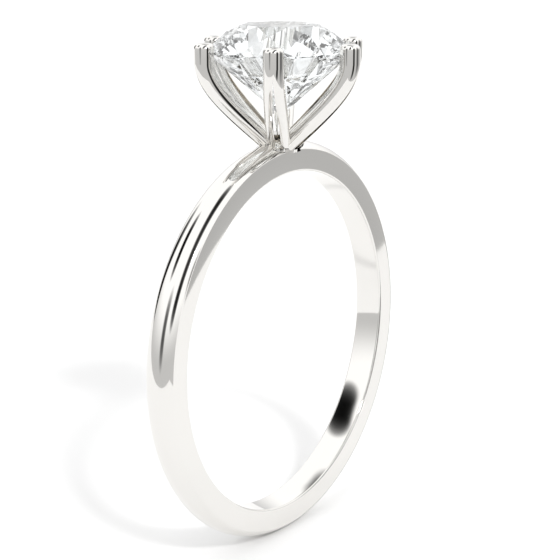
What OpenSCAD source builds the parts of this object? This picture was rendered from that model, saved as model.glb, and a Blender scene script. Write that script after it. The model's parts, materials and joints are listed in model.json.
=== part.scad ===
// Engagement ring: a plain court-section band, a six-claw head on a soldered
// peg, and a round brilliant stone.
// The finger axis runs along Y through the origin, and the head points up +Z.

/* [Band] */
// Inside diameter of the band, which is the finger size
bore_d = 17.3; // [15:0.1:21]
// Width of the band along the finger
band_w = 1.55; // [1.4:0.05:2.2]
// Thickness of the band from the bore to the top of its crown
band_t = 1.5; // [1.4:0.05:2.2]
// Height of the crown above the edge of the flat sides
crown_h = 0.35; // [0.2:0.05:0.45]
// Rounding where the bore meets the flat sides
inner_edge_r = 0.11; // [0.05:0.01:0.2]
// Rounding where the flat sides meet the crown
outer_edge_r = 0.12; // [0.05:0.01:0.2]

/* [Stone] */
// Diameter of the stone at its girdle
stone_d = 7.2; // [6.8:0.1:7.4]
// Height of the girdle's middle above the crown of the band
girdle_rise = 4.45; // [4.3:0.05:4.7]
// Width of the table across its corners, as a share of the stone's diameter
table_share = 0.53; // [0.5:0.01:0.6]
// Slope of the crown's main facets
crown_angle = 35; // [32:0.5:36]
// Slope of the pavilion's main facets
pavilion_angle = 40.8; // [40:0.2:42]
// Thickness of the girdle
girdle_t = 0.14; // [0.08:0.02:0.2]

/* [Claws] */
// Distance of the claw tips from the head's axis
claw_ring_r = 4; // [3.9:0.05:4.2]
// Diameter of a claw above its fork
claw_d = 1; // [0.9:0.05:1.1]
// Height of the claw tips above the crown of the band
claw_h = 4.95; // [4.8:0.05:5.1]
// Rounding of the claw tips
tip_round = 0.25; // [0.1:0.05:0.35]
// Diameter of each leg where the claw forks
leg_top_d = 0.62; // [0.56:0.02:0.64]
// Diameter of each leg at its foot
leg_foot_d = 0.46; // [0.4:0.02:0.5]
// Distance from the head's axis to the foot of a leg
foot_ring_r = 0.65; // [0.6:0.05:0.8]
// Slope of a leg at its foot
leg_slope = 40; // [36:1:44]

/* [Peg] */
// Diameter of the peg under the head
peg_d = 0.8; // [0.6:0.05:0.9]
// Depth of the peg's hole below the crown of the band
peg_depth = 1; // [0.8:0.05:1.1]
// Diameter of the boss that the legs are soldered round
boss_d = 1.1; // [1:0.05:1.2]
// Height of the boss above the crown of the band
boss_h = 0.55; // [0.4:0.05:0.7]
// Diameter of the plate that the feet of the legs stand on
plate_d = 1.7; // [1.6:0.05:1.8]
// Height of the plate above the crown of the band
plate_h = 0.05; // [0.03:0.01:0.1]
// Gap for solder round the peg
solder_gap = 0.02; // [0.01:0.01:0.04]

/* [Hidden] */
$fn = 96;

platinum = "gainsboro";
diamond = "aliceblue";

// Band
bore_r = bore_d / 2;
half_w = band_w / 2;
crown_r = bore_r + band_t;
// The crown is an arc through the two side edges and the crown's top
crown_arc_r = (half_w * half_w + crown_h * crown_h) / (2 * crown_h);
crown_arc_x = crown_r - crown_arc_r;
// Centre of the arc that rounds the outer edge, and its direction from the crown arc's centre
edge_y = half_w - outer_edge_r;
edge_x = crown_arc_x + sqrt(pow(crown_arc_r - outer_edge_r, 2) - edge_y * edge_y);
edge_angle = atan2(edge_y, edge_x - crown_arc_x);
// Reach of cutting shapes past what they cut
over = 1;

// Stone
stone_r = stone_d / 2;
girdle_top = crown_r + girdle_rise + girdle_t / 2;
girdle_bottom = girdle_top - girdle_t;
table_r = stone_r * table_share;
table_z = girdle_top + (stone_r - table_r) * tan(crown_angle);
culet_z = girdle_bottom - stone_r * tan(pavilion_angle);
// Eight main facets, with half facets a quarter of the way between them
mains = 8;
main_step = 360 / mains;
half_turn = main_step / 4;
star_turn = main_step / 2;
// Where a star facet, two mains and two upper halves meet, half way out from the table
star_r = (table_r * cos(star_turn) + stone_r) / 2;
star_z = girdle_top + (stone_r - star_r * cos(star_turn)) * tan(crown_angle);
// Where two lower halves and two pavilion mains meet, as a share of the way to the culet
lower_share = 0.77;
lower_r = stone_r * (1 - lower_share);
lower_z = girdle_bottom - (stone_r - lower_r * cos(star_turn)) * tan(pavilion_angle);
half_edge_r = stone_r * cos(half_turn);
upper_angle = atan((star_z - girdle_top) / (half_edge_r - star_r * cos(half_turn)));
lower_angle = atan((girdle_bottom - lower_z) / (half_edge_r - lower_r * cos(half_turn)));
star_angle = atan((table_z - star_z) / (star_r - table_r * cos(star_turn)));

// Claws
claws = 6;
claw_step = 360 / claws;
tip_z = crown_r + claw_h;
// The legs of a fork leave the claw side by side and overlap there
leg_start_y = (claw_d - leg_top_d) / 2;
leg_top_z = tip_z - 0.9;
foot_x = foot_ring_r * cos(claw_step / 2);
foot_y = foot_ring_r * sin(claw_step / 2);
foot_z = crown_r - 0.1;
// A leg is a Bezier curve that starts straight down and ends at the foot's slope
leg_drop = 1.6;
foot_reach = 2.4;
leg_start = [claw_ring_r, leg_start_y, leg_top_z];
leg_pull = leg_start - [0, 0, leg_drop];
leg_foot = [foot_x, foot_y, foot_z];
foot_pull = leg_foot + foot_reach * [cos(leg_slope), 0, sin(leg_slope)];
leg_steps = 10;
solder_angle = 0.6;
claw_fn = 16;
// The feet are cut off flat on top of the plate
foot_cut_z = crown_r + plate_h;

module half_profile_corner() {
    translate([bore_r - over, half_w - inner_edge_r])
        square([over + inner_edge_r, over + inner_edge_r]);
}

module inner_edge_cut() {
    difference() {
        half_profile_corner();
        translate([bore_r + inner_edge_r, half_w - inner_edge_r]) circle(inner_edge_r);
        translate([bore_r + inner_edge_r, -half_w]) square([over, 3 * band_w]);
    }
}

module outer_edge_cut() {
    difference() {
        translate([edge_x, edge_y])
            polygon([[0, 0], [0, over], [over, over], [over * cos(edge_angle), over * sin(edge_angle)]]);
        translate([edge_x, edge_y]) circle(outer_edge_r);
    }
}

// Section of the band: X is the distance from the finger axis, Y runs along the finger
module band_profile() {
    difference() {
        intersection() {
            translate([crown_arc_x, 0]) circle(crown_arc_r);
            translate([bore_r, -half_w]) square([band_t + over, band_w]);
        }
        for (side = [0, 1]) mirror([0, side]) {
            inner_edge_cut();
            outer_edge_cut();
        }
    }
}

module band_ring() {
    rotate([90, 0, 0]) rotate_extrude() band_profile();
}

module shank() {
    color(platinum) difference() {
        band_ring();
        translate([0, 0, crown_r - peg_depth])
            cylinder(r = peg_d / 2 + solder_gap, h = peg_depth + over);
    }
}

// Stem of the head that the legs are soldered round, from inside the band to above the plate
module boss() {
    r = boss_d / 2;
    translate([0, 0, crown_r - 0.5]) cylinder(r = r, h = 0.5 + boss_h - r / 2);
    translate([0, 0, crown_r + boss_h - r / 2]) cylinder(r1 = r, r2 = r / 2, h = r / 2);
}

module head_peg() {
    color(platinum) union() {
        difference() {
            union() {
                boss();
                translate([0, 0, crown_r - 0.2]) cylinder(r = plate_d / 2, h = 0.2 + plate_h);
            }
            band_ring();
        }
        translate([0, 0, crown_r - peg_depth]) cylinder(r = peg_d / 2, h = peg_depth + boss_h / 2);
    }
}

// Eight flat facets as a pyramid whose faces pass at distance r from the axis at height z
module facet_pyramid(turn, r, z, slope, base_z) {
    side_to_corner = 1 / cos(180 / mains);
    apex_z = z + r * slope;
    rotate([0, 0, turn + 180 / mains]) translate([0, 0, base_z])
        cylinder(r1 = (apex_z - base_z) / slope * side_to_corner, r2 = 0, h = apex_z - base_z, $fn = mains);
}

// Table, 8 stars, 8 mains and 16 upper halves, from the girdle up
module stone_crown() {
    intersection() {
        translate([0, 0, girdle_top - girdle_t / 2]) rotate([0, 0, half_turn / 2])
            cylinder(r = stone_r, h = table_z - girdle_top + girdle_t / 2);
        facet_pyramid(0, stone_r, girdle_top, tan(crown_angle), culet_z);
        facet_pyramid(star_turn, star_r, star_z, tan(star_angle), culet_z);
        facet_pyramid(half_turn, half_edge_r, girdle_top, tan(upper_angle), culet_z);
        facet_pyramid(-half_turn, half_edge_r, girdle_top, tan(upper_angle), culet_z);
    }
}

// 8 mains and 16 lower halves that meet at the culet, from the girdle down
module stone_pavilion() {
    mirror([0, 0, 1]) intersection() {
        translate([0, 0, -girdle_bottom - girdle_t / 2]) rotate([0, 0, half_turn / 2])
            cylinder(r = stone_r, h = girdle_bottom + girdle_t / 2 - culet_z);
        facet_pyramid(0, stone_r, -girdle_bottom, tan(pavilion_angle), -table_z);
        facet_pyramid(half_turn, half_edge_r, -girdle_bottom, tan(lower_angle), -table_z);
        facet_pyramid(-half_turn, half_edge_r, -girdle_bottom, tan(lower_angle), -table_z);
    }
}

module centre_stone() {
    color(diamond) union() {
        stone_crown();
        stone_pavilion();
    }
}

// Space that the stone's edge takes out of the claws
module stone_seat() {
    seat_depth = 1.2;
    inner_r = stone_r - seat_depth;
    rotate_extrude($fn = 48) polygon([
        [0, girdle_bottom - seat_depth * tan(lower_angle)],
        [inner_r, girdle_bottom - seat_depth * tan(lower_angle)],
        [stone_r, girdle_bottom],
        [stone_r, girdle_top],
        [inner_r, girdle_top + seat_depth * tan(upper_angle)],
        [0, girdle_top + seat_depth * tan(upper_angle)]
    ]);
}

function leg_point(t) =
    pow(1 - t, 3) * leg_start + 3 * pow(1 - t, 2) * t * leg_pull
    + 3 * (1 - t) * t * t * foot_pull + pow(t, 3) * leg_foot;

function leg_radius(t) = (leg_top_d + (leg_foot_d - leg_top_d) * t) / 2;

module leg_ball(t) {
    translate(leg_point(t)) sphere(r = leg_radius(t), $fn = claw_fn);
}

module claw_leg() {
    for (i = [0 : leg_steps - 1])
        hull() {
            leg_ball(i / leg_steps);
            leg_ball((i + 1) / leg_steps);
        }
}

// Round wire with rounded rim, from the fork to the tip
module claw_tip() {
    core_r = claw_d / 2 - tip_round;
    translate([claw_ring_r, 0, 0]) {
        translate([0, 0, leg_top_z])
            cylinder(r = claw_d / 2, h = tip_z - tip_round - leg_top_z, $fn = claw_fn);
        translate([0, 0, leg_top_z]) cylinder(r = core_r, h = tip_z - leg_top_z, $fn = claw_fn);
        translate([0, 0, tip_z - tip_round])
            rotate_extrude($fn = claw_fn) translate([core_r, 0]) circle(tip_round, $fn = claw_fn);
        translate([0, 0, leg_top_z]) sphere(r = claw_d / 2, $fn = claw_fn);
    }
}

// Wedge of the head that one claw may fill, so that neighbours meet with a hair's gap for solder
module claw_sector() {
    reach = 2 * claw_ring_r;
    half = claw_step / 2 - solder_angle;
    translate([0, 0, foot_cut_z]) linear_extrude(claw_h + over)
        polygon([
            [0, 0],
            [reach * cos(half), -reach * sin(half)],
            [reach * cos(half), reach * sin(half)]
        ]);
}

module claw(number) {
    color(platinum) rotate([0, 0, -90 + number * claw_step]) difference() {
        intersection() {
            union() {
                claw_tip();
                claw_leg();
                mirror([0, 1, 0]) claw_leg();
            }
            claw_sector();
        }
        stone_seat();
        boss();
    }
}

shank();
head_peg();
claw(0);  // claw_1
claw(1);  // claw_2
claw(2);  // claw_3
claw(3);  // claw_4
claw(4);  // claw_5
claw(5);  // claw_6
centre_stone();
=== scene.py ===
"""Engagement ring: a court band, a head of six forked claws and a round brilliant stone."""
import json
import math

import bpy
from bpy.props import FloatProperty, FloatVectorProperty, PointerProperty
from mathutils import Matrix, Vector


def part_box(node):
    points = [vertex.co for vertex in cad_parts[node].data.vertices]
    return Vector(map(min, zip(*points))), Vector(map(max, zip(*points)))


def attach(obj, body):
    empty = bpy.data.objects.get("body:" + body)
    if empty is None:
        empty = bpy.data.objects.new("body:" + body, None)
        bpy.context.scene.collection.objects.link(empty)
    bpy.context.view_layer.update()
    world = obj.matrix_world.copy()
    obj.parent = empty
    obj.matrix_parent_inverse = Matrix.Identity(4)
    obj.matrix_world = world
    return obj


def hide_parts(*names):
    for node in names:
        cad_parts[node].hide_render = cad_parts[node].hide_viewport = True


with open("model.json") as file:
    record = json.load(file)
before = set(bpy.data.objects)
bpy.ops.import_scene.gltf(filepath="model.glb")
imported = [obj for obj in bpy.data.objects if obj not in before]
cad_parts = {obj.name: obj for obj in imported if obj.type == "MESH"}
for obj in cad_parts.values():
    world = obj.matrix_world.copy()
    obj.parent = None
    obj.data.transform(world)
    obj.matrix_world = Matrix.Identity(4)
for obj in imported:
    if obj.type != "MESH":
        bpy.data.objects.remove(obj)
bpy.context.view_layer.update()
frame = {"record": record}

bl_info = {
    "name": "Engagement Ring",
    "version": (1, 0, 0),
    "blender": (4, 5, 0),
    "location": "View3D > Sidebar > Ring",
    "description": "Builds a six-claw solitaire ring on its packed frame",
    "category": "Object",
}

MM = 0.001

BAND_LOW, BAND_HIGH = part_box("shank")
STONE_LOW, STONE_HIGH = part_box("centre_stone")
CLAW_LOW, CLAW_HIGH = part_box("claw_1")

CROWN_R = BAND_HIGH[2]
HALF_W = BAND_HIGH[1]
BORE_R = frame["record"]["mounts"][0]["dims"]["r_mm"] * MM
STONE_R = STONE_HIGH[0]
TIP_Z = CLAW_HIGH[2]
CLAW_D = 1.0 * MM
CLAW_RING_R = -CLAW_LOW[1] - CLAW_D / 2
CLAWS = 6
CLAW_STEP = 2 * math.pi / CLAWS

# How finely the round shapes are made.
CROWN_POINTS = 160
BAND_STEPS = 256
EDGE_STEPS = 6
WIRE_POINTS = 64
LEG_STEPS = 40
LEG_EDGE_STEPS = 5
TIP_STEPS = 10
GIRDLE_POINTS = 192
FOOT_POINTS = 128
FLARE_STEPS = 12
SHARP_EDGE = math.radians(50)
WELD = 0.000001
TINY = 0.0000001

# The legs are a hair thinner than the tip that they start in.
LEG_FIT = 0.99
LEG_START_PULL = 1.1 * MM
LEG_FOOT_PULL = 2.85 * MM
FOOT_SINK = 0.05 * MM
GAP_START = 0.12
GAP_GROWTH = 1.6

SEAT_H = 1.0 * MM
SEAT_RUN = 1.2 * MM

FLARE_BASE_DROP = 0.2 * MM
FLARE_BASE_H = 0.3 * MM

FLOOR_SIZE = 0.7
FLOOR_CENTRE = (0.305, 0.318)
KEY_PLACE = (-0.141, -0.237, 0.23)
KEY_POWER = 1.0
KEY_ANGLE = math.radians(7)

CAMERA_TURN = math.radians(-55.685)
CAMERA_RISE = math.radians(16.197)
CAMERA_PITCH = math.radians(14.003)
CAMERA_DISTANCE = 78.318 * MM
CAMERA_VIEW = math.radians(20.64)


# Sizes and colours ---------------------------------------------------------------------------

class RingSizes(bpy.types.PropertyGroup):
    """Shapes that the frame's boxes don't give."""
    crown_h: FloatProperty(
        name="Crown height", description="Height of the band's crown above its flat sides",
        default=0.35 * MM, unit="LENGTH")
    edge_r: FloatProperty(
        name="Edge rounding", description="Rounding of the band's four edges",
        default=0.11 * MM, unit="LENGTH")
    tip_round: FloatProperty(
        name="Tip rounding", description="Rounding of the claw tips",
        default=0.25 * MM, unit="LENGTH")
    fork_drop: FloatProperty(
        name="Fork drop", description="How far below its tip a claw forks",
        default=0.98 * MM, unit="LENGTH")
    leg_top: FloatProperty(
        name="Leg top", description="How far below the tip the legs start, inside the claw",
        default=0.9 * MM, unit="LENGTH")
    fork_gap: FloatProperty(
        name="Fork gap", description="Space between a claw's two legs at the foot",
        default=0.3 * MM, unit="LENGTH")
    leg_taper: FloatProperty(
        name="Leg taper", description="Size of a leg at its foot as a share of its size at the fork",
        default=0.84)
    leg_edge_r: FloatProperty(
        name="Leg edge rounding", description="Rounding of a leg's two inner edges",
        default=0.09 * MM, unit="LENGTH")
    foot_ring_r: FloatProperty(
        name="Foot ring", description="Distance of the feet from the head's axis",
        default=0.65 * MM, unit="LENGTH")
    leg_slope: FloatProperty(
        name="Leg slope", description="Slope of a leg at its foot",
        default=math.radians(41), unit="ROTATION")
    flare_r: FloatProperty(
        name="Flare", description="How far the head's foot runs out along the band",
        default=1.75 * MM, unit="LENGTH")
    flare_top_r: FloatProperty(
        name="Flare top", description="Radius of the head's foot at its top",
        default=0.8 * MM, unit="LENGTH")
    flare_h: FloatProperty(
        name="Flare height", description="Height of the head's foot",
        default=0.62 * MM, unit="LENGTH")
    flare_narrow: FloatProperty(
        name="Flare narrowing", description="Width of the head's foot across the band, as a share",
        default=0.48)


class StoneSizes(bpy.types.PropertyGroup):
    """Proportions of the round brilliant cut."""
    table_share: FloatProperty(
        name="Table", description="Width of the table as a share of the stone's diameter",
        default=0.53)
    crown_angle: FloatProperty(
        name="Crown angle", description="Slope of the crown's main facets",
        default=math.radians(35), unit="ROTATION")
    pavilion_angle: FloatProperty(
        name="Pavilion angle", description="Slope of the pavilion's main facets",
        default=math.radians(40.8), unit="ROTATION")
    lower_share: FloatProperty(
        name="Lower halves", description="Length of the lower halves on the way to the culet",
        default=0.77)


class RingColours(bpy.types.PropertyGroup):
    """Colours of the metal, the stone and the studio."""
    metal: FloatVectorProperty(
        name="Metal", description="Polished platinum",
        subtype="COLOR", size=3, default=(0.82, 0.806, 0.78))
    stone: FloatVectorProperty(
        name="Stone", description="Body colour of the diamond",
        subtype="COLOR", size=3, default=(0.965, 0.99, 1.0))
    floor: FloatVectorProperty(
        name="Floor", description="Colour of the studio floor",
        subtype="COLOR", size=3, default=(0.96, 0.96, 0.96))


# Shader helper -------------------------------------------------------------------------------

class Wire:
    """A node socket that Python operators can be used on."""

    def __init__(self, tree, socket):
        self.tree = tree
        self.socket = socket

    def combine(self, operation, other):
        return node(self.tree, "ShaderNodeMath", {"operation": operation}, {0: self, 1: other})

    def __add__(self, other):
        return self.combine("ADD", other)

    def __mul__(self, other):
        return self.combine("MULTIPLY", other)

    def __rmul__(self, other):
        return self.combine("MULTIPLY", other)

    def __radd__(self, other):
        return self.combine("ADD", other)

    def __rsub__(self, other):
        return (self * -1.0) + other


def node(tree, kind, settings=None, values=None, output=0):
    """Add a node, set it up, feed its sockets, and return the named output as a Wire."""
    made = tree.nodes.new(kind)
    for name, value in (settings or {}).items():
        setattr(made, name, value)
    for name, value in (values or {}).items():
        value = value.socket if isinstance(value, Wire) else value
        if isinstance(value, bpy.types.NodeSocket):
            tree.links.new(value, made.inputs[name])
        else:
            made.inputs[name].default_value = value
    return Wire(tree, made.outputs[output]) if made.outputs else None


def new_material(name):
    """An empty node material and its tree."""
    material = bpy.data.materials.new(name)
    material.use_nodes = True
    material.node_tree.nodes.clear()
    return material, material.node_tree


def metal_material():
    """Polished white metal with a very fine grain and a trace of uneven gloss."""
    if "polished_metal" in bpy.data.materials:
        return bpy.data.materials["polished_metal"]
    colours = bpy.context.scene.ring_colours
    material, tree = new_material("polished_metal")
    place = node(tree, "ShaderNodeTexCoord", output="Object")
    cloud = node(tree, "ShaderNodeTexNoise", values={"Vector": place, "Scale": 350.0, "Detail": 2.0})
    grain = node(tree, "ShaderNodeTexNoise", values={"Vector": place, "Scale": 9000.0, "Detail": 1.0})
    gloss = 0.035 + cloud * 0.03
    normal = node(tree, "ShaderNodeBump", values={
        "Height": grain, "Strength": 0.012, "Distance": 0.00001})
    shader = node(tree, "ShaderNodeBsdfPrincipled", values={
        "Base Color": (*colours.metal, 1.0), "Metallic": 1.0, "Roughness": gloss, "Normal": normal})
    node(tree, "ShaderNodeOutputMaterial", values={"Surface": shader})
    return material


def diamond_material():
    """Clear stone that bends light as diamond does, with a trace of polish in its gloss."""
    colours = bpy.context.scene.ring_colours
    material, tree = new_material("clear_diamond")
    place = node(tree, "ShaderNodeTexCoord", output="Object")
    polish = node(tree, "ShaderNodeTexNoise", values={"Vector": place, "Scale": 800.0, "Detail": 1.0})
    shader = node(tree, "ShaderNodeBsdfPrincipled", values={
        "Base Color": (*colours.stone, 1.0), "Transmission Weight": 1.0, "IOR": 2.417,
        "Roughness": polish * 0.002})
    node(tree, "ShaderNodeOutputMaterial", values={"Surface": shader})
    return material


def floor_material():
    """Matt white studio floor."""
    colours = bpy.context.scene.ring_colours
    material, tree = new_material("studio_floor")
    place = node(tree, "ShaderNodeTexCoord", output="Object")
    paper = node(tree, "ShaderNodeTexNoise", values={"Vector": place, "Scale": 900.0})
    shader = node(tree, "ShaderNodeBsdfPrincipled", values={
        "Base Color": (*colours.floor, 1.0), "Roughness": 0.75 + paper * 0.1,
        "Specular IOR Level": 0.1})
    node(tree, "ShaderNodeOutputMaterial", values={"Surface": shader})
    return material


# Modelling helpers ---------------------------------------------------------------------------

def deselect_all():
    bpy.ops.object.select_all(action="DESELECT")


def make_active(piece):
    """Select this piece alone and make it the active one."""
    deselect_all()
    piece.select_set(True)
    bpy.context.view_layer.objects.active = piece


def finish_mesh(piece, angle):
    """Bake the piece's place into its mesh, close seams, point faces out and shade it."""
    make_active(piece)
    bpy.ops.object.transform_apply(location=True, rotation=True, scale=True)
    bpy.ops.object.mode_set(mode="EDIT")
    bpy.ops.mesh.select_all(action="SELECT")
    bpy.ops.mesh.remove_doubles(threshold=WELD)
    bpy.ops.mesh.normals_make_consistent(inside=False)
    bpy.ops.object.mode_set(mode="OBJECT")
    bpy.ops.object.shade_smooth_by_angle(angle=angle)


def apply_modifier(piece, kind, **settings):
    make_active(piece)
    modifier = piece.modifiers.new(kind.title(), kind)
    for name, value in settings.items():
        setattr(modifier, name, value)
    bpy.ops.object.modifier_apply(modifier=modifier.name)


def cut_plane(point, normal):
    """Cut away everything on the normal's side of a plane, and close the cut with a face."""
    bpy.ops.mesh.select_all(action="SELECT")
    bpy.ops.mesh.bisect(
        plane_co=point, plane_no=normal, use_fill=True, clear_outer=True, threshold=TINY)


def select_only(parts, mode, wanted):
    """Select the wanted vertices, edges or faces of the active mesh, and go into edit mode."""
    bpy.ops.object.mode_set(mode="EDIT")
    bpy.ops.mesh.select_mode(type=mode)
    bpy.ops.mesh.select_all(action="DESELECT")
    bpy.ops.object.mode_set(mode="OBJECT")
    for part in parts:
        part.select = wanted(part)
    bpy.ops.object.mode_set(mode="EDIT")


def hand_over(piece, name, material, node_name):
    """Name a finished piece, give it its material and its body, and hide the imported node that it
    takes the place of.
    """
    piece.name = name
    piece.data.materials.clear()
    piece.data.materials.append(material)
    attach(piece, "root")
    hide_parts(node_name)


# Pieces --------------------------------------------------------------------------------------

class RING_OT_shank(bpy.types.Operator):
    """Spin the band's court section round the finger axis"""
    bl_idname = "ring.shank"
    bl_label = "Band"

    def execute(self, context):
        sizes = context.scene.ring_sizes
        arc_r = (HALF_W ** 2 + sizes.crown_h ** 2) / (2 * sizes.crown_h)
        deselect_all()
        bpy.ops.mesh.primitive_circle_add(
            vertices=CROWN_POINTS, radius=arc_r, fill_type="NGON", location=(CROWN_R - arc_r, 0, 0))
        shank = context.object
        bpy.ops.object.transform_apply(location=True)
        bpy.ops.object.mode_set(mode="EDIT")
        sides = (
            ((BORE_R, 0, 0), (-1, 0, 0)),
            ((0, HALF_W, 0), (0, 1, 0)),
            ((0, -HALF_W, 0), (0, -1, 0)),
        )
        for point, normal in sides:
            bpy.ops.mesh.select_all(action="SELECT")
            bpy.ops.mesh.bisect(plane_co=point, plane_no=normal, clear_outer=True, threshold=TINY / 10)
        select_only(shank.data.vertices, "VERT", lambda corner: abs(abs(corner.co.y) - HALF_W) < TINY)
        bpy.ops.mesh.bevel(offset=sizes.edge_r, segments=EDGE_STEPS, affect="VERTICES")
        bpy.ops.mesh.select_all(action="SELECT")
        bpy.ops.mesh.delete(type="ONLY_FACE")
        bpy.ops.mesh.select_all(action="SELECT")
        bpy.ops.mesh.spin(
            steps=BAND_STEPS, angle=2 * math.pi, center=(0, 0, 0), axis=(0, 1, 0), use_auto_merge=True)
        bpy.ops.object.mode_set(mode="OBJECT")
        finish_mesh(shank, math.radians(40))
        hand_over(shank, "shank_polished", metal_material(), "shank")
        return {"FINISHED"}


def leg_path(share):
    """Where a leg is at a share of its length, along a Bezier curve, and how far it has turned."""
    sizes = bpy.context.scene.ring_sizes
    foot_y = -sizes.foot_ring_r * math.cos(CLAW_STEP / 2)
    start = Vector((0, -CLAW_RING_R, TIP_Z - sizes.leg_top))
    foot = Vector((0, foot_y, CROWN_R - FOOT_SINK))
    out = Vector((0, -math.cos(sizes.leg_slope), math.sin(sizes.leg_slope)))
    knee = start - Vector((0, 0, LEG_START_PULL))
    reach = foot + out * LEG_FOOT_PULL
    rest = 1 - share
    place = start * rest ** 3 + knee * 3 * rest ** 2 * share
    place = place + reach * 3 * rest * share ** 2 + foot * share ** 3
    way = (knee - start) * rest ** 2 + (reach - knee) * 2 * rest * share + (foot - reach) * share ** 2
    return place, math.atan2(way.y, -way.z)


def claw_leg(side):
    """Half of the split wire: a half-round section drawn down and in, parting from its twin."""
    sizes = bpy.context.scene.ring_sizes
    start, _ = leg_path(0)
    deselect_all()
    bpy.ops.mesh.primitive_circle_add(
        vertices=WIRE_POINTS, radius=CLAW_D / 2 * LEG_FIT, fill_type="NGON", location=start)
    leg = bpy.context.object
    bpy.ops.object.transform_apply(location=True)
    bpy.ops.object.mode_set(mode="EDIT")
    bpy.ops.mesh.select_all(action="SELECT")
    bpy.ops.mesh.bisect(plane_co=(0, 0, 0), plane_no=(-1, 0, 0), clear_outer=True, threshold=TINY)
    select_only(leg.data.vertices, "VERT", lambda corner: abs(corner.co.x) < TINY)
    bpy.ops.mesh.bevel(offset=sizes.leg_edge_r, segments=LEG_EDGE_STEPS, affect="VERTICES")
    bpy.ops.mesh.select_mode(type="FACE")
    bpy.ops.mesh.select_all(action="SELECT")
    before, turned, size, gap = start, 0.0, 1.0, 0.0
    for number in range(1, LEG_STEPS + 1):
        share = number / LEG_STEPS
        place, heading = leg_path(share)
        next_gap = sizes.fork_gap / 2 * min(1.0, max(0.0, share - GAP_START) * GAP_GROWTH)
        next_size = 1 + (sizes.leg_taper - 1) * share
        step = place - before + Vector((next_gap - gap, 0, 0))
        bpy.ops.mesh.extrude_region_move(TRANSFORM_OT_translate={"value": step})
        bpy.ops.transform.rotate(
            value=-(heading - turned), orient_axis="X", orient_type="GLOBAL",
            center_override=(next_gap, place.y, place.z))
        bpy.ops.transform.resize(
            value=(next_size / size,) * 3, center_override=(next_gap, place.y, place.z))
        before, turned, size, gap = place, heading, next_size, next_gap
    bpy.ops.object.mode_set(mode="OBJECT")
    leg.scale = (side, 1, 1)
    finish_mesh(leg, SHARP_EDGE)
    return leg


def claw_tip():
    """The round wire above the fork, with its tip rounded over."""
    sizes = bpy.context.scene.ring_sizes
    bottom = TIP_Z - sizes.fork_drop
    deselect_all()
    bpy.ops.mesh.primitive_cylinder_add(
        vertices=WIRE_POINTS, radius=CLAW_D / 2, depth=TIP_Z - bottom,
        location=(0, -CLAW_RING_R, (TIP_Z + bottom) / 2))
    tip = bpy.context.object
    bpy.ops.object.transform_apply(location=True)
    corners = tip.data.vertices
    select_only(
        tip.data.edges, "EDGE",
        lambda edge: all(corners[number].co.z > TIP_Z - WELD for number in edge.vertices))
    bpy.ops.mesh.bevel(offset=sizes.tip_round, segments=TIP_STEPS, affect="EDGES")
    bpy.ops.object.mode_set(mode="OBJECT")
    finish_mesh(tip, SHARP_EDGE)
    return tip


def stone_seat():
    """The space that the stone's edge takes out of the claws: the girdle, sloping in both ways."""
    bottom, top = girdle_heights()
    deselect_all()
    bpy.ops.mesh.primitive_cylinder_add(
        vertices=GIRDLE_POINTS, radius=STONE_R, depth=top - bottom, location=(0, 0, (bottom + top) / 2))
    seat = bpy.context.object
    bpy.ops.object.transform_apply(location=True)
    share = 1 - SEAT_RUN / STONE_R
    for level, lift in ((top, SEAT_H), (bottom, -SEAT_H)):
        select_only(
            seat.data.polygons, "FACE",
            lambda face: abs(face.center.z - level) < TINY and abs(face.normal.z) > 0.9)
        bpy.ops.mesh.extrude_region_move(TRANSFORM_OT_translate={"value": (0, 0, lift)})
        bpy.ops.transform.resize(value=(share, share, 1.0), center_override=(0, 0, level + lift))
        bpy.ops.object.mode_set(mode="OBJECT")
    return seat


def girdle_heights():
    """Bottom and top of the stone's girdle, from its box and its two main angles."""
    stone = bpy.context.scene.ring_stone
    table_r = STONE_R * stone.table_share
    top = STONE_HIGH[2] - (STONE_R - table_r) * math.tan(stone.crown_angle)
    bottom = STONE_LOW[2] + STONE_R * math.tan(stone.pavilion_angle)
    return bottom, top


class RING_OT_claws(bpy.types.Operator):
    """Make one forked claw with its seat, and turn copies of it round the head"""
    bl_idname = "ring.claws"
    bl_label = "Claws"

    def execute(self, context):
        tip = claw_tip()
        seat = stone_seat()
        apply_modifier(tip, "BOOLEAN", operation="DIFFERENCE", object=seat, solver="EXACT")
        bpy.data.objects.remove(seat)
        legs = [claw_leg(side) for side in (-1, 1)]
        make_active(tip)
        for leg in legs:
            leg.select_set(True)
        bpy.ops.object.join()
        for number in range(CLAWS):
            make_active(tip)
            bpy.ops.object.duplicate(linked=False)
            claw = context.object
            claw.rotation_euler = (0, 0, number * CLAW_STEP)
            finish_mesh(claw, SHARP_EDGE)
            name = f"claw_{number + 1}"
            hand_over(claw, name + "_polished", metal_material(), name)
        bpy.data.objects.remove(tip)
        return {"FINISHED"}


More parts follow.
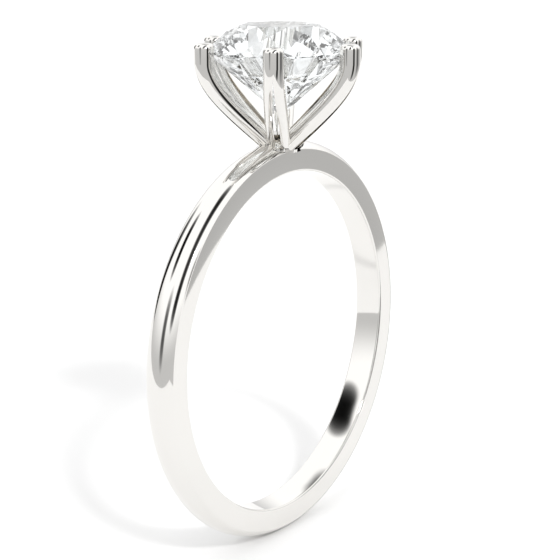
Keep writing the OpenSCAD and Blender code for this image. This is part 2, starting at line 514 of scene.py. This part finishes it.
class RING_OT_stone(bpy.types.Operator):
    """Cut the 57 facets of the round brilliant from a round blank"""
    bl_idname = "ring.stone"
    bl_label = "Centre stone"

    def execute(self, context):
        cut = context.scene.ring_stone
        bottom, top = girdle_heights()
        table_r = STONE_R * cut.table_share
        step = math.pi / 4
        star = step / 2
        star_r = (table_r * math.cos(star) + STONE_R) / 2
        star_z = top + (STONE_R - star_r * math.cos(star)) * math.tan(cut.crown_angle)
        lower_r = STONE_R * (1 - cut.lower_share)
        lower_z = bottom - (STONE_R - lower_r * math.cos(star)) * math.tan(cut.pavilion_angle)
        edge_r = STONE_R * math.cos(step / 4)
        upper = math.atan((star_z - top) / (edge_r - star_r * math.cos(step / 4)))
        lower = math.atan((bottom - lower_z) / (edge_r - lower_r * math.cos(step / 4)))
        star_slope = math.atan((STONE_HIGH[2] - star_z) / (star_r - table_r * math.cos(star)))
        deselect_all()
        bpy.ops.mesh.primitive_cylinder_add(
            vertices=GIRDLE_POINTS, radius=STONE_R, depth=STONE_HIGH[2] - STONE_LOW[2],
            location=(0, 0, (STONE_HIGH[2] + STONE_LOW[2]) / 2))
        stone = context.object
        bpy.ops.object.transform_apply(location=True)
        bpy.ops.object.mode_set(mode="EDIT")
        # Each row of facets: how many, its first angle, a point on it, its slope, and 1 for up.
        rows = (
            (8, 0, STONE_R, top, cut.crown_angle, 1),
            (8, star, star_r, star_z, star_slope, 1),
            (16, step / 4, edge_r, top, upper, 1),
            (8, 0, STONE_R, bottom, cut.pavilion_angle, -1),
            (16, step / 4, edge_r, bottom, lower, -1),
        )
        for count, first, radius, height, slope, up in rows:
            for number in range(count):
                angle = first + number * 2 * math.pi / count
                outward = Vector((math.cos(angle), math.sin(angle), 0))
                normal = outward * math.sin(slope) + Vector((0, 0, up * math.cos(slope)))
                cut_plane(outward * radius + Vector((0, 0, height)), normal)
        bpy.ops.object.mode_set(mode="OBJECT")
        finish_mesh(stone, math.radians(1))
        hand_over(stone, "centre_stone_cut", diamond_material(), "centre_stone")
        return {"FINISHED"}


class RING_OT_head_peg(bpy.types.Operator):
    """Draw up the flared foot that the claws are soldered on, and narrow it to the band"""
    bl_idname = "ring.head_peg"
    bl_label = "Head foot"

    def execute(self, context):
        sizes = context.scene.ring_sizes
        deselect_all()
        bpy.ops.mesh.primitive_cylinder_add(
            vertices=FOOT_POINTS, radius=sizes.flare_r, depth=FLARE_BASE_H,
            location=(0, 0, CROWN_R - FLARE_BASE_DROP - FLARE_BASE_H / 2))
        foot = context.object
        bpy.ops.object.transform_apply(location=True)
        # Only the faces are unpicked here: the edges of the base stay picked, and are drawn up
        # too, which leaves hidden faces inside the foot.
        for face in foot.data.polygons:
            face.select = face.normal.z > 0.9
        bpy.ops.object.mode_set(mode="EDIT")
        bpy.ops.mesh.select_mode(type="FACE")
        bpy.ops.object.mode_set(mode="OBJECT")
        for face in foot.data.polygons:
            face.select = face.normal.z > 0.9
        bpy.ops.object.mode_set(mode="EDIT")
        base = CROWN_R - FLARE_BASE_DROP
        low, radius = base, sizes.flare_r
        for number in range(1, FLARE_STEPS + 1):
            turn = math.pi / 2 * number / FLARE_STEPS
            next_radius = sizes.flare_r - (sizes.flare_r - sizes.flare_top_r) * math.sin(turn)
            level = base + sizes.flare_h * (1 - math.cos(turn))
            bpy.ops.mesh.extrude_region_move(TRANSFORM_OT_translate={"value": (0, 0, level - low)})
            share = next_radius / radius
            bpy.ops.transform.resize(value=(share, share, 1), center_override=(0, 0, level))
            low, radius = level, next_radius
        bpy.ops.object.mode_set(mode="OBJECT")
        foot.scale = (1, sizes.flare_narrow, 1)
        finish_mesh(foot, SHARP_EDGE)
        hand_over(foot, "head_foot_polished", metal_material(), "head_peg")
        return {"FINISHED"}


# Studio --------------------------------------------------------------------------------------

class RING_OT_stage(bpy.types.Operator):
    """Lay the floor, light the studio and set the camera"""
    bl_idname = "ring.stage"
    bl_label = "Studio"

    def execute(self, context):
        deselect_all()
        bpy.ops.mesh.primitive_plane_add(size=FLOOR_SIZE, location=(*FLOOR_CENTRE, BAND_LOW[2]))
        floor = context.object
        floor.name = "studio_floor"
        bpy.ops.object.transform_apply(location=True)
        floor.data.materials.append(floor_material())
        context.scene.world = studio_world()
        deselect_all()
        bpy.ops.object.light_add(type="SUN", location=KEY_PLACE)
        lamp = context.object
        lamp.name = "key_light"
        lamp.data.energy = KEY_POWER
        lamp.data.angle = KEY_ANGLE
        lamp.rotation_euler = (-lamp.location).to_track_quat("-Z", "Y").to_euler()
        set_camera(context)
        context.scene.view_settings.view_transform = "Standard"
        context.scene.cycles.max_bounces = 32
        context.scene.cycles.transmission_bounces = 32
        context.scene.cycles.glossy_bounces = 16
        return {"FINISHED"}


# Dark flags round the studio, each a soft-edged strip between two directions: its half-width
# in full dark and where its edge ends, in degrees, and how much of the light it takes.
FLAGS = (
    ((-0.54, 0.55, 0.64), (-0.27, 0.52, 0.81), 5, 10, 0.75),
    ((-0.80, -0.42, 0.32), (0.05, -0.28, 0.93), 5, 11, 0.62),
    ((-0.27, -0.94, -0.50), (-0.22, -0.92, 0.42), 6, 13, 0.6),
    ((0.50, -0.85, -0.30), (0.50, -0.80, 0.40), 8, 20, 0.2),
    ((0.10, 0.97, 0.00), (0.10, 0.90, 0.40), 7, 13, 0.6),
    ((-0.96, 0.12, 0.02), (-0.90, 0.10, 0.42), 4, 12, 0.42),
    ((0.60, 0.30, 0.72), (0.40, 0.30, 0.85), 6, 12, 0.55),
    ((0.80, -0.58, -0.12), (0.60, -0.70, -0.12), 3, 20, 0.06),
)
FLAG_SPACING = math.radians(4)


def studio_world():
    """White studio, duller at eye level, with dark flags that the metal and the stone pick up.
    Where it is seen directly it is plain white."""
    world = bpy.data.worlds.new("studio")
    world.use_nodes = True
    tree = world.node_tree
    tree.nodes.clear()
    place = node(tree, "ShaderNodeTexCoord", output="Generated")
    height = node(tree, "ShaderNodeSeparateXYZ", values={"Vector": place}, output="Z")
    light = node(tree, "ShaderNodeMapRange", {"interpolation_type": "SMOOTHSTEP"}, {
        "Value": height, "From Min": -0.1, "From Max": 0.4, "To Min": 0.66, "To Max": 1.25})
    for first, last, inner, outer, depth in FLAGS:
        first, last = Vector(first).normalized(), Vector(last).normalized()
        spots = max(2, round(first.angle(last) / FLAG_SPACING))
        for number in range(spots + 1):
            direction = first.lerp(last, number / spots).normalized()
            along = node(tree, "ShaderNodeVectorMath", {"operation": "DOT_PRODUCT"},
                         {0: place, 1: direction}, output="Value")
            dark = node(tree, "ShaderNodeMapRange", {"interpolation_type": "SMOOTHSTEP"}, {
                "Value": along, "From Min": math.cos(math.radians(outer)),
                "From Max": math.cos(math.radians(inner)), "To Min": 1.0, "To Max": 1.0 - depth})
            light = light * dark
    seen = node(tree, "ShaderNodeLightPath", output="Is Camera Ray")
    light = light + seen * (1.0 - light)
    background = node(tree, "ShaderNodeBackground", values={
        "Color": (1.0, 1.0, 1.0, 1.0), "Strength": light})
    node(tree, "ShaderNodeOutputWorld", values={"Surface": background})
    return world


def set_camera(context):
    """Low camera on the -X -Y side, close enough for strong perspective."""
    deselect_all()
    bpy.ops.object.camera_add()
    camera = context.object
    camera.location = CAMERA_DISTANCE * Vector((
        math.sin(CAMERA_TURN) * math.cos(CAMERA_RISE),
        -math.cos(CAMERA_TURN) * math.cos(CAMERA_RISE),
        math.sin(CAMERA_RISE)))
    camera.rotation_euler = (math.radians(90) - CAMERA_PITCH, 0, CAMERA_TURN)
    camera.data.angle = CAMERA_VIEW
    camera.data.clip_start = MM
    context.scene.camera = camera


class RING_PT_panel(bpy.types.Panel):
    """Lists the ring's pieces and sizes"""
    bl_idname = "RING_PT_panel"
    bl_label = "Engagement ring"
    bl_space_type = "VIEW_3D"
    bl_region_type = "UI"
    bl_category = "Ring"

    def draw(self, context):
        for group in (context.scene.ring_sizes, context.scene.ring_stone, context.scene.ring_colours):
            for name in group.__annotations__:
                self.layout.prop(group, name)
        for operator in OPERATORS:
            self.layout.operator(operator.bl_idname)


GROUPS = (("ring_sizes", RingSizes), ("ring_stone", StoneSizes), ("ring_colours", RingColours))
OPERATORS = (RING_OT_stage, RING_OT_shank, RING_OT_head_peg, RING_OT_stone, RING_OT_claws)


def register():
    for name, group in GROUPS:
        bpy.utils.register_class(group)
        setattr(bpy.types.Scene, name, PointerProperty(type=group))
    for operator in OPERATORS:
        bpy.utils.register_class(operator)
    bpy.utils.register_class(RING_PT_panel)


def unregister():
    bpy.utils.unregister_class(RING_PT_panel)
    for operator in reversed(OPERATORS):
        bpy.utils.unregister_class(operator)
    for name, group in reversed(GROUPS):
        delattr(bpy.types.Scene, name)
        bpy.utils.unregister_class(group)


def main():
    """Build the ring and its studio."""
    register()
    bpy.ops.ring.stage()
    bpy.ops.ring.shank()
    bpy.ops.ring.head_peg()
    bpy.ops.ring.stone()
    bpy.ops.ring.claws()


if __name__ == "__main__":
    main()
